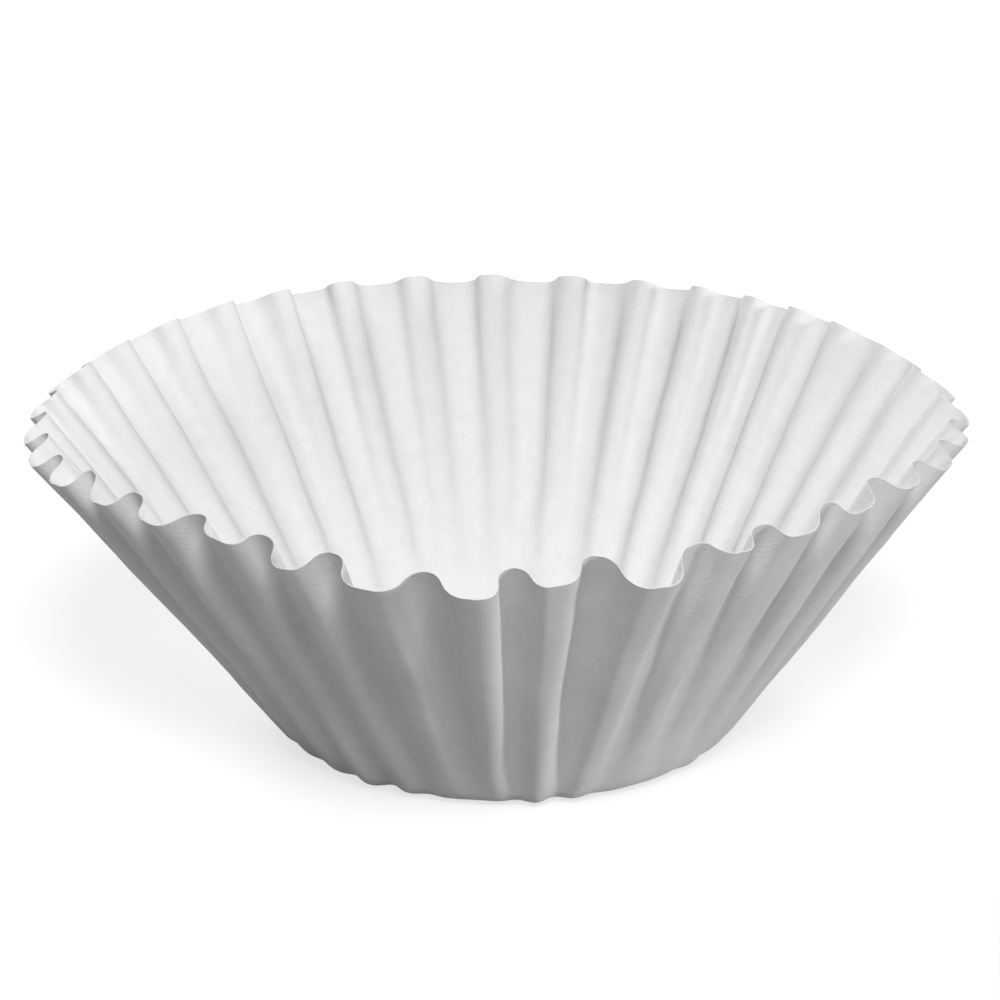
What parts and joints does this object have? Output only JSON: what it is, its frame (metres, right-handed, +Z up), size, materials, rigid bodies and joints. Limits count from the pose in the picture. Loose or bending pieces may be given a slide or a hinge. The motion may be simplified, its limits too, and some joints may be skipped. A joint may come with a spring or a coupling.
{
  "type": "paper coffee filter",
  "caption": "Round fluted paper basket filter with a flat base, for ground coffee in a drip brewer.",
  "frame": {"origin": "middle of the flat base's underside, on the surface that the filter stands on", "axes": "+Z up out of the mouth, -Y towards the viewer of the picture, +X to the viewer's right"},
  "size_m": [0.1874, 0.187, 0.0685],
  "materials": {
    "filter_paper": "matte"
  },
  "bodies": {
    "root": {"filter_paper": "filter_paper"}
  },
  "joints": []
}
